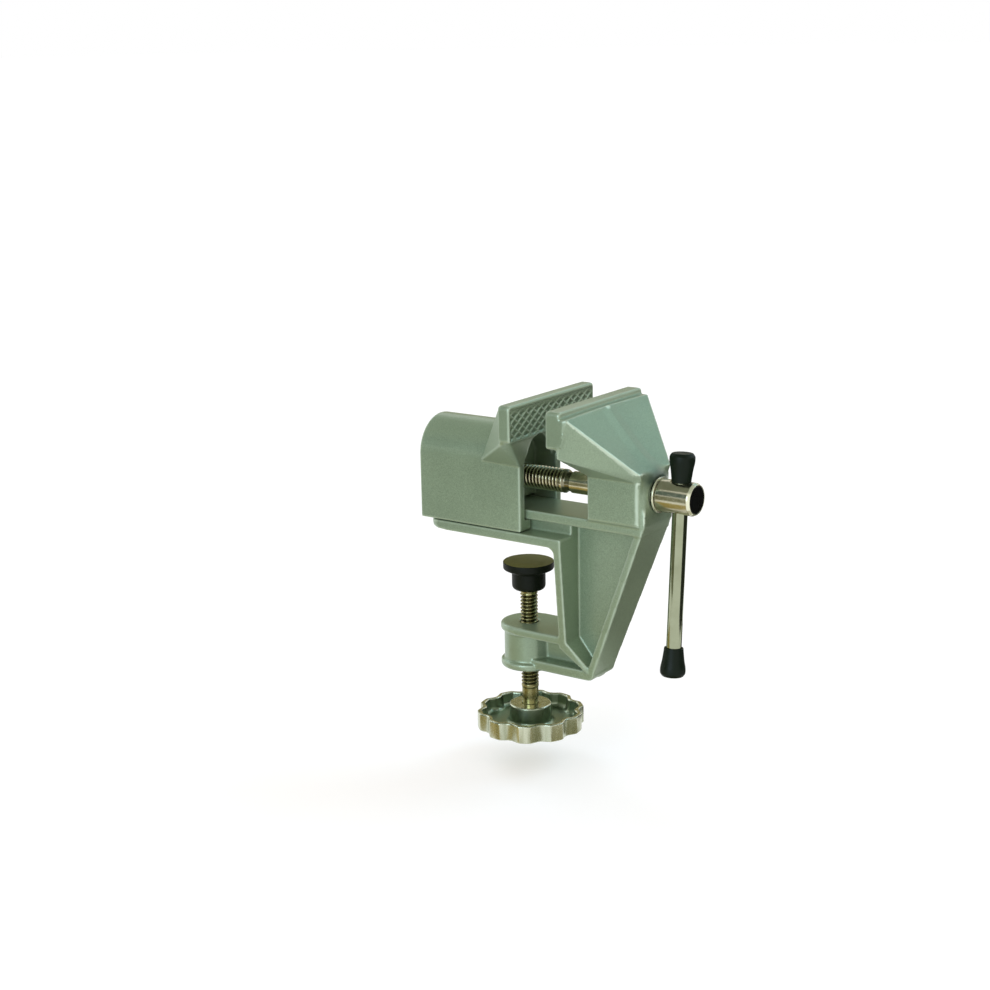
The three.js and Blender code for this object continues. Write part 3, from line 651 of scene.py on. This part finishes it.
# Each point of the skin moves part of the way to the mean of its neighbours, a few times, which
# rounds the edges and fills the corners. Its painted light is how far it then stands above the mean that
# some more turns would give, so that rounded edges get a painted highlight and corners painted shade.
# Where it is to melt, round a line along x, more turns are mixed in.
def softCasting(name, node, look, pockets, cutters=(), flush=None, lightMarks=None, melt=None):
    piece = rebuildSkin(name, node, look, cutters)
    mesh = piece.data
    count = len(mesh.vertices)
    points = readVectors(mesh.vertices, "co")
    edges = np.empty(len(mesh.edges) * 2, int)
    mesh.edges.foreach_get("vertices", edges)
    a, b = edges.reshape(-1, 2).T
    degree = np.maximum(np.bincount(a, minlength=count) + np.bincount(b, minlength=count), 1)

    def relax(points, turns):
        for turn in range(turns):
            sums = [
                np.bincount(a, points[b, k], count) + np.bincount(b, points[a, k], count) for k in range(3)
            ]
            mean = np.stack([total / degree for total in sums], -1)
            points = points + look["smoothShare"] * (mean - points)
        return points

    points = relax(points, look["smoothTurns"])
    if melt:
        x, y, z = points.T / mm
        away = np.hypot(y * melt["squeeze"], z - melt["height"])
        share = rampUp(melt["reach"] - away, melt["fade"]) * rampUp(x - melt["from"], melt["fade"])
        points = points + share[:, None] * (relax(points, melt["turns"]) - points)
    mesh.vertices.foreach_set("co", points.ravel())
    mesh.update()
    normals = readVectors(mesh.vertices, "normal")
    rise = ((points - relax(points, look["paintedLightTurns"])) * normals).sum(1)
    paintedLight = np.clip(rise / (look["paintedLightFull"] * mm), -1, 1)
    if lightMarks:
        paintedLight = markPaintedLight(points / mm, normals, paintedLight, lightMarks)
    mesh.attributes.new("paintedLight", "FLOAT", "POINT").data.foreach_set("value", paintedLight)
    for pocket in pockets:
        points = sinkFace(points, pocket)
    if flush:
        points = flushEnds(points, flush)
    mesh.vertices.foreach_set("co", points.ravel())
    mesh.update()
    triangles = sum(len(p.vertices) - 2 for p in mesh.polygons)
    if triangles > look["mostTriangles"]:
        thin = piece.modifiers.new("thin", "DECIMATE")
        thin.ratio = look["mostTriangles"] / triangles
        bakeShape(piece)
    piece.data.shade_smooth()
    print(name, "has", len(piece.data.polygons), "faces")
    return piece


# Points on the jaw face inside the pocket's outline move back into the jaw by its depth
def sinkFace(points, pocket):
    reach, halfWidth, bottom, top = (pocket[k] * mm for k in ("face", "halfWidth", "bottom", "top"))
    onFace = np.abs(points[:, 0] - reach) < pocket["within"] * mm
    inside = (np.abs(points[:, 1]) < halfWidth) & (points[:, 2] > bottom) & (points[:, 2] < top)
    moved = points.copy()
    moved[:, 0] -= np.where(onFace & inside, pocket["outward"] * pocket["depth"] * mm, 0)
    return moved


# The block's near ridges get a brighter painted highlight, but not where they face down. The roof's middle
# ridge has a painted bright spot at its top. Painted shade lies round the hub, above the screw's axis.
def markPaintedLight(points, normals, paintedLight, look):
    x, y, z = points.T
    start, side, low = look["highlitFrom"]
    highlit = (x > start) & (y < side) & (z > low) & (normals[:, 2] > look["highlitTilt"])
    brighter = np.minimum((paintedLight - look["highlightAbove"]) * look["highlightGain"], 2)
    paintedLight = np.where(highlit, np.maximum(paintedLight, brighter), paintedLight)
    toBrightSpot = np.linalg.norm((points - look["brightSpot"]) * look["brightSpotSqueeze"], axis=1)
    paintedLight = np.maximum(paintedLight, 2 * rampUp(look["brightSpotReach"] - toBrightSpot, look["brightSpotFade"]))
    away = np.hypot(y, z - axisHeight)
    share = rampUp(look["shadeReach"] - away, look["shadeFade"])
    share = share * rampUp(x - look["shadeFrom"], look["shadeIn"]) * rampUp(z - axisHeight, look["shadeRise"])
    return np.maximum(paintedLight - 2 * share, -2)


# The plate's ends and those of the ledge behind it lie in one plane, with no seam
def flushEnds(points, look):
    start, end, bottom, top, half = (look[k] * mm for k in ("start", "end", "bottom", "top", "half"))
    side = np.abs(points[:, 1])
    near = (points[:, 0] > start) & (points[:, 0] < end) & (points[:, 2] > bottom) & (points[:, 2] < top)
    moved = points.copy()
    near = near & (side > half - look["within"] * mm)
    moved[:, 1] = np.where(near, np.sign(points[:, 1]) * half, points[:, 1])
    return moved


serrationLook = {
    "margin": 1.1, "bottom": 44.3, "top": 56.3, "spacing": 2.9, "slope": 34, "ridge": 0.5, "crest": 1.35,
    "second": 0.6, "thick": 1.5, "step": 0.16, "halfJaw": 30, "fadeTop": 2.0, "fade": 0.7, "below": 0.03,
    "ridgeHighlight": 1.8, "bedShade": 1.3, "crisp": 60,
}


# The face is a flat bed with two sets of sloping ridges, the second set lower. A ridge's height falls
# off evenly on both sides of its line, and the higher of the two sets counts. Near the panel's edge
# the bed rises until all is flush, over a wider band at the top.
def serratedFace(name, face, outward, look):
    half, bottom, top = look["halfJaw"] - look["margin"], look["bottom"], look["top"]
    y = np.linspace(-half, half, int(2 * half / look["step"]) + 1)
    z = np.linspace(bottom, top, int((top - bottom) / look["step"]) + 1)
    yy, zz = np.meshgrid(y, z)
    slope = math.radians(look["slope"])
    height = np.zeros_like(yy)
    for side, share in ((-1, 1), (1, look["second"])):
        across = (zz * math.cos(slope) + side * yy * math.sin(slope)) / look["spacing"]
        off = np.abs(across - np.round(across)) * look["spacing"]
        height = np.maximum(height, share * rampUp(1 - off / (look["crest"] / 2)))
    edge = np.minimum(half - np.abs(yy), zz - bottom) / look["fade"]
    fade = rampUp(np.minimum(edge, (top - zz) / look["fadeTop"]))
    # Painted highlight on the ridges and painted shade on the bed between them, fading out near the edge
    paintedLight = (height * look["ridgeHighlight"] - look["bedShade"]) * fade
    height = 1 - fade * (1 - height)
    rows, cols = yy.shape
    x = face - outward * (look["ridge"] + look["below"]) + outward * look["ridge"] * height
    front = np.stack([x, yy, zz], -1).reshape(-1, 3)
    rear = front.copy()
    rear[:, 0] = face - outward * look["thick"]
    i, j = np.arange(rows - 1)[:, None], np.arange(cols - 1)[None, :]
    here, above = i * cols + j, (i + 1) * cols + j
    quads = np.stack([here, here + 1, above + 1, above], -1).reshape(-1, 4)
    ring = np.concatenate([
        np.arange(cols), cols - 1 + np.arange(1, rows) * cols,
        (rows - 1) * cols + np.arange(cols - 2, -1, -1), np.arange(rows - 2, 0, -1) * cols,
    ])
    following = np.roll(ring, -1)
    count = rows * cols
    order = [0, 1, 2, 3] if outward > 0 else [3, 2, 1, 0]
    rim = np.stack([following, ring, ring + count, following + count], -1)
    back = (quads + count)[:, ::-1]
    faces = np.vstack([quads, rim, back])[:, order]
    return putMesh(name, np.vstack([front, rear]), faces.tolist(), look["crisp"], np.tile(paintedLight.ravel(), 2))


# The two jaw faces, and the shallow pockets in them that hold the teeth
slidingFace, fixedFace = 12.6, 29.2
pocket = {
    "halfWidth": serrationLook["halfJaw"] - serrationLook["margin"], "bottom": serrationLook["bottom"],
    "top": serrationLook["top"], "depth": 0.7, "within": 0.3,
}
slidingPocket = dict(pocket, face=slidingFace, outward=1)
fixedPocket = dict(pocket, face=fixedFace, outward=-1)

# Beside the boss the foot is hollow on both sides, down to the web. Each hollow runs along the
# boss, under the brace and over the bottom plate. A row gives how far out it is and where the boss ends.
hollowLook = {
    "rows": ((2.3, 10.3), (7.2, 7.6)), "floor": -50.9, "roof": -40.9, "roofEnd": 20.4, "brace": (22, -42.3),
    "end": 30.6,
}


def footHollow(side, look):
    points = []
    for out, start in look["rows"]:
        outline = [
            (start, look["floor"]), (start, look["roof"]), (look["roofEnd"], look["roof"]), look["brace"],
            (look["end"], look["floor"]),
        ]
        points += [(x, side * out, z) for x, z in outline]
    return hullBlock("footHollow", points)


plateEnds = {"start": 30.2, "end": 37.4, "bottom": 44.4, "top": 54.9, "half": 29.97, "within": 0.9}
# Where the painted ridge highlight, the painted bright spot and the painted shade round the hub lie
frameLightMarks = {
    "highlitFrom": (38.6, -5, 13.5), "highlitTilt": -0.04, "highlightAbove": 0.1, "highlightGain": 5,
    "brightSpot": (38.2, -0.2, 55.4), "brightSpotSqueeze": (1, 0.6, 1), "brightSpotReach": 1.2, "brightSpotFade": 0.5,
    "shadeReach": 13, "shadeFade": 5, "shadeFrom": 55, "shadeIn": 3, "shadeRise": 6,
}
hubMelt = {"reach": 16, "fade": 3.5, "from": 55.5, "height": 24, "squeeze": 1.3, "turns": 110}

hollows = [footHollow(side, hollowLook) for side in (-1, 1)]
frameCasting = softCasting(
    "frameCasting", "clamp_frame", castingLook, [fixedPocket], hollows, plateEnds, frameLightMarks, hubMelt,
)
dressPiece(frameCasting, "frame", "casting_paint", "casting_paint", "clamp_frame")
jawCasting = softCasting("jawCasting", "sliding_jaw", castingLook, [slidingPocket])
dressPiece(jawCasting, "jaw", "casting_paint", "casting_paint", "sliding_jaw")
fixedTeeth = serratedFace("fixedJawTeeth", fixedFace, -1, serrationLook)
dressPiece(fixedTeeth, "frame", "casting_paint", "casting_paint")
slidingTeeth = serratedFace("slidingJawTeeth", slidingFace, 1, serrationLook)
dressPiece(slidingTeeth, "jaw", "casting_paint", "casting_paint")
print("castings ready")


# Jaw screw, washer, plug and clip
screwLook = {
    "crest": 4.8, "depth": 0.85, "pitch": 1.6, "tip": -40.0, "threadStart": -38.7, "threadStop": 18.8,
    "threadEnd": 19.2, "relief": 3.9, "reliefStart": 20.0, "reliefStop": 22.5, "reliefEnd": 23.0,
    "reliefShade": -0.6, "pale": 3, "shank": 4.4, "shankStart": 23.2, "groove": 3.5, "grooveStart": 34.4,
    "grooveEnd": 36.0, "split": 50.0, "tipEdge": ((-1.0, 0, 0.15), (0, 1.0, 0.1), (0, 1.2, 0)),
    "runOut": ((0, -0.3, 0), (-0.05, 0, 0.1)), "crispRound": 0.05,
}
headLook = {
    "gap": 0.02, "radius": 6.45, "start": 62.8, "end": 77.9, "plugHole": 5.6, "plugDepth": 2.2,
    "heel": ((-0.25, 0, 0.1), (0, 0.25, 0.1)), "edge": ((0, -1.15, 0.35), (-0.6, 0, 0.25)), "brightFrom": 1.1,
    "brightIn": 0.1, "spot": 4.2, "spotAbove": 5.6, "cutReach": 12, "cutSteps": 64, "crisp": 30,
}


# The relief behind the thread carries painted shade, apart from a few rings at its ends
def buildScrewRod(look):
    crest, shank, groove, soft = (look[k] for k in ("crest", "shank", "groove", "crispRound"))
    start = softProfile([(0, look["tip"], 0)] + cornersAt(crest, look["tip"], look["tipEdge"]))
    thread = threadGrid(look, look["threadStart"], look["threadStop"])
    relief = softProfile(cornersAt(crest, look["threadEnd"], look["runOut"]) + [
        (look["relief"], look["reliefStart"], 0.3), (look["relief"], look["reliefStop"], 0.3),
        (shank, look["reliefEnd"], 0.2),
    ])
    rest = softProfile([
        (shank, look["shankStart"], 0), (shank, look["grooveStart"], soft),
        (groove, look["grooveStart"], soft), (groove, look["grooveEnd"], soft),
        (crest, look["grooveEnd"], soft), (crest, look["split"], soft), (0, look["split"], 0),
    ])
    dark = profileGrid(relief, paintedLight=look["reliefShade"])
    dark[2][:look["pale"]] = dark[2][-look["pale"]:] = 0
    grids = stackGrids(profileGrid(start), thread, dark, profileGrid(rest))
    return turnedPiece("screwRod", "jawScrew", *grids)


# The head is turned, with a painted highlight on its chamfer. Then the bar's hole is cut through it, with a
# flat spot round each mouth.
def buildScrewHead(look):
    radius, start, end, plugHole = (look[k] for k in ("radius", "start", "end", "plugHole"))
    neck, begin, floor = screwLook["crest"], screwLook["split"] + look["gap"], end - look["plugDepth"]
    profile = softProfile([
        (0, begin, 0), (neck, begin, 0), (neck, start, 0.1),
        *cornersAt(radius, start, look["heel"]), *cornersAt(radius, end, look["edge"]),
        (plugHole, end, 0.15), (plugHole, floor, 0.1), (0, floor, 0),
    ])
    out, along, paintedLight = profileGrid(profile, 96)
    paintedLight[(along > end - look["brightFrom"]) & (out > plugHole - look["brightIn"])] = 1
    piece = turnedPiece("screwHead", "jawScrew", out, along, paintedLight)
    bar, spot, above, reach = barLook["hole"], look["spot"], look["spotAbove"], look["cutReach"]
    upper = [(bar, above, 0.15), (spot, above, 0.1), (spot, reach, 0), (0, reach, 0)]
    lower = [(out, -height, soft) for out, height, soft in reversed(upper)]
    cutter = turnedProfile("barHole", "bar", softProfile(lower + upper), look["cutSteps"])
    cutAway(piece, cutter)
    piece.data.set_sharp_from_angle(angle=math.radians(look["crisp"]))
    return piece


# The whole washer carries a painted highlight
washerLook = {
    "inner": 5.1, "outer": 7.0, "start": 61.7, "end": 62.5, "round": 0.2, "innerRound": 0.1, "paintedLight": 0.9,
    "steps": 96,
}
plugLook = {"radius": 5.3, "start": 76.0, "end": 78.05, "dome": 0.12, "shoulder": 0.75, "shoulderDrop": 0.2}
barLook = {"lean": 4.4, "radius": 3.0, "hole": 3.3, "top": 15.3, "bottom": -68.15, "round": 0.6}
# The flare's rows start from the mouth, and the crown's from the widest place at the end
capLook = {
    "length": 11.4, "mouth": 3.75, "widest": 4.95, "bore": 3.15, "widestAt": 7.9, "barInside": 9.45,
    "flare": ((0.12, 1.4, 0.8), (0.62, 5.4, 1.6)), "steps": 80, "dimple": 0.25,
    "crown": ((0, -1.3, 0.6), (-0.85, -0.08, 0.8), (-1.7, 0, 0.5), (-2.3, -0.22, 0.4)),
    "upperMouth": 5.9, "lowerMouth": -58.75,
}


def buildWasher(look):
    inner, outer, start, end = (look[k] for k in ("inner", "outer", "start", "end"))
    profile = softProfile([
        (inner, start, look["innerRound"]), (outer, start, look["round"]), (outer, end, look["round"]),
        (inner, end, look["innerRound"]),
    ], 5)
    grid = profileGrid(profile, look["steps"], look["paintedLight"])
    return turnedPiece("thrustWasher", "jawScrew", *grid, looped=True)


def buildPlug(look):
    radius, start, end, dome = (look[k] for k in ("radius", "start", "end", "dome"))
    profile = softProfile([
        (0, start, 0), (radius, start, 0.1), (radius, end - dome, 0.25),
        (radius * look["shoulder"], end - dome * look["shoulderDrop"], 0.8), (0, end, 0),
    ])
    return turnedProfile("endPlug", "jawScrew", profile)


def buildBar(look):
    radius, bottom, top, soft = (look[k] for k in ("radius", "bottom", "top", "round"))
    profile = softProfile([(0, bottom, 0), (radius, bottom, soft), (radius, top, soft), (0, top, 0)])
    return turnedProfile("tommyBar", "bar", profile)


# Cap drawn from its mouth, at zero, out to its rounded end, then turned end for end if it hangs down
def buildCap(name, look, mouthAt, way):
    end, bore, inside = look["length"], look["bore"], look["barInside"]
    profile = softProfile([
        (bore, inside, 0.05), (bore, 0, 0.15), (look["mouth"], 0, 0.3),
        *cornersAt(look["mouth"], 0, look["flare"]), (look["widest"], look["widestAt"], 1.0),
        *cornersAt(look["widest"], end, look["crown"]), (0, end - look["dimple"], 0),
    ])
    profile = np.vstack([[[0, inside]], profile])
    profile[:, 1] = mouthAt + way * profile[:, 1]
    if way < 0:
        profile = profile[::-1]
    return turnedProfile(name, "bar", profile, look["steps"])


dressPiece(buildScrewRod(screwLook), "screw", "plated_steel", "plated_thread", "jaw_screw")
dressPiece(buildScrewHead(headLook), "screw", "plated_steel", "plated_steel")
dressPiece(buildWasher(washerLook), "screw", "plated_steel", "plated_steel", "thrust_washer")
dressPiece(buildPlug(plugLook), "screw", "black_plug", "black_plug", "screw_end_plug")
nodes["retaining_clip"].data.materials.clear()
nodes["retaining_clip"].data.materials.append(finishes["spring_steel"])
print("jaw screw ready")

dressPiece(buildBar(barLook), "handle", "plated_steel", "plated_bar", "tommy_bar")
upperCap = buildCap("upperCap", capLook, capLook["upperMouth"], 1)
dressPiece(upperCap, "handle", "black_cap", "black_cap", "bar_cap_upper")
lowerCap = buildCap("lowerCap", capLook, capLook["lowerMouth"], -1)
dressPiece(lowerCap, "handle", "black_cap", "black_cap", "bar_cap_lower")
print("tommy bar ready")


# Bench clamp
padLook = {
    "top": -12.1, "radius": 10.4, "edge": 2.9, "taper": 1.7, "cupTop": 7.3, "cup": 6.9, "bottom": -23.9,
    "lip": 3.6, "mouth": 2.5, "socket": 3.4, "ball": -18.2, "shelf": ((0.2, 0.2, 0.3),),
    "face": ((0, 0, 0.3), (-1.2, -0.02, 0.3)), "dish": 0.04, "socketSteps": 20, "steps": 112,
}
clampLook = {
    "crest": 3.6, "depth": 0.62, "pitch": 1.5, "threadTop": -24.2, "threadEnd": -66.1, "shank": 3.35,
    "bottom": -82.13, "neck": 2.2, "ball": 3.1, "lead": ((0, 0.6, 0.15), (0, 0.7, 0)), "threadFrom": 0.75,
    "threadTo": 0.5, "topEdge": ((0, -0.4), (-0.3, 0)), "neckRound": 0.1, "ballSteps": 20,
}
handwheelLook = {
    "radius": 22.1, "lobes": 10, "lobeDepth": 1.9, "lobePhase": 9.7, "lobeSteps": 36, "flat": 0.3,
    "wall": 1.9, "top": -75.6, "bottom": -83.6, "floor": -81.0, "hub": 8.6, "hubTop": -73.1, "bore": 3.4,
    "boreFloor": -82.43, "crisp": 50,
    "heel": ((-2.2, 0, 0.4, 1), (0, 0.7, 0.5, 1)), "rim": ((0, -0.3, 0.35, 1), (-0.45, 0, 0.3, 1)),
    "lip": ((0.3, 0, 0.25, 1), (-0.1, -0.4, 0.3, 1)), "dishEdge": ((-0.5, 1.2, 0.8, 1), (-1.8, 0, 0.9, 0.8)),
    "hubFoot": ((1.3, 0, 0.9, 0), (0.1, 1.1, 0.7, 0)), "hubEdge": ((0, -0.35, 0.3, 0), (-0.4, 0, 0.3, 0)),
    "mouth": ((0.3, 0, 0.15, 0), (0, -0.3, 0.1, 0)),
    "wallIn": 0.6, "wallDown": 0.2, "dishIn": 0.05, "dishLow": 0.1, "dishHigh": 0.3, "dipShade": 0.45,
    "dipSteep": 4,
}


# The pad's outside is turned together with the socket that the ball sits in
def buildPad(look):
    top, bottom = look["top"], look["bottom"]
    shoulder = top - look["edge"]
    shelf = shoulder - look["taper"]
    outer = softProfile([
        (look["mouth"], bottom, 0.1), (look["cup"], bottom, look["lip"]), (look["cup"], shelf, 0.5),
        *cornersAt(look["cupTop"], shelf, look["shelf"]), (look["radius"], shoulder, 0.5),
        *cornersAt(look["radius"], top, look["face"]), (0, top - look["dish"], 0),
    ], 7)
    mouthAngle = -math.acos(look["mouth"] / look["socket"])
    angle = np.linspace(math.pi / 2, mouthAngle, look["socketSteps"])
    socket = np.stack([look["socket"] * np.cos(angle), look["ball"] + look["socket"] * np.sin(angle)], -1)
    socket[0, 0] = 0
    return turnedProfile("swivelPad", "clampScrew", np.vstack([socket, outer]), look["steps"])


# From the wheel's bore up: the plain shank, the thread, the neck and the ball inside the pad
def buildClampScrew(look):
    crest, end, top = look["crest"], look["threadEnd"], look["threadTop"]
    low = softProfile([
        (0, look["bottom"], 0), (look["shank"], look["bottom"], 0.1), (look["shank"], end, 0.3),
        *cornersAt(crest, end, look["lead"]),
    ])
    thread = threadGrid(look, end + look["threadFrom"], top - look["threadTo"])
    angle = np.linspace(-math.acos(look["neck"] / look["ball"]), math.pi / 2, look["ballSteps"])
    ball = np.stack([look["ball"] * np.cos(angle), padLook["ball"] + look["ball"] * np.sin(angle)], -1)
    ball[-1, 0] = 0
    high = np.vstack([cornersAt(crest, top, look["topEdge"]), (look["neck"] + look["neckRound"], top), ball])
    grids = stackGrids(profileGrid(low), thread, profileGrid(high))
    return turnedPiece("clampScrew", "clampScrew", *grids)


# Every ring of the wheel is a circle that dips once for each lobe by its own share of the lobe depth,
# which is the last value of a corner. The dip is the upper part of a cosine wave, so each lobe has a
# round face between two crisp edges. The dips and the dish are the dull places, and carry painted shade.
def buildWheel(look):
    outer, hub, bore = look["radius"], look["hub"], look["bore"]
    top, bottom, floor, hubTop = (look[k] for k in ("top", "bottom", "floor", "hubTop"))
    inner = outer - look["wall"]
    places = (
        (outer, bottom, "heel"), (outer, top, "rim"), (inner, top, "lip"), (inner, floor, "dishEdge"),
        (hub, floor, "hubFoot"), (hub, hubTop, "hubEdge"), (bore, hubTop, "mouth"),
    )
    corners = [(0, bottom, 0, 0)]
    for radius, height, edge in places:
        corners += cornersAt(radius, height, look[edge])
    corners += [(bore, look["boreFloor"], 0.1, 0), (0, look["boreFloor"], 0, 0)]
    profile = softProfile(corners)
    steps = look["lobes"] * look["lobeSteps"]
    angle = np.arange(steps) * fullTurn / steps - math.radians(look["lobePhase"])
    dip = rampUp((1 - np.cos(angle * look["lobes"])) / 2 - look["flat"])[None, :] / (1 - look["flat"])
    out, up = profile[:, :1], profile[:, 1:2]
    radius = np.where(out < tiny, 0, out - profile[:, 2:] * look["lobeDepth"] * dip)
    along = np.repeat(up, steps, 1)
    onWall = (out > outer - look["wallIn"]) & (up < top - look["wallDown"])
    inDish = (out < inner) & (out > hub - look["dishIn"])
    inDish = inDish & (up > floor - look["dishLow"]) & (up < hubTop - look["dishHigh"])
    dull = look["dipShade"] * rampUp(dip * look["dipSteep"])
    paintedLight = -np.where(onWall, dull, np.where(inDish, 1, 0))
    return turnedPiece("handwheel", "clampScrew", radius, along, paintedLight, crisp=look["crisp"])


dressPiece(buildPad(padLook), "pad", "black_pad", "black_pad", "clamp_pad")
dressPiece(buildClampScrew(clampLook), "clamp_drive", "zinc_steel", "zinc_steel", "clamp_screw")
dressPiece(buildWheel(handwheelLook), "clamp_drive", "wheel_casting", "wheel_casting", "handwheel")
print("bench clamp ready")
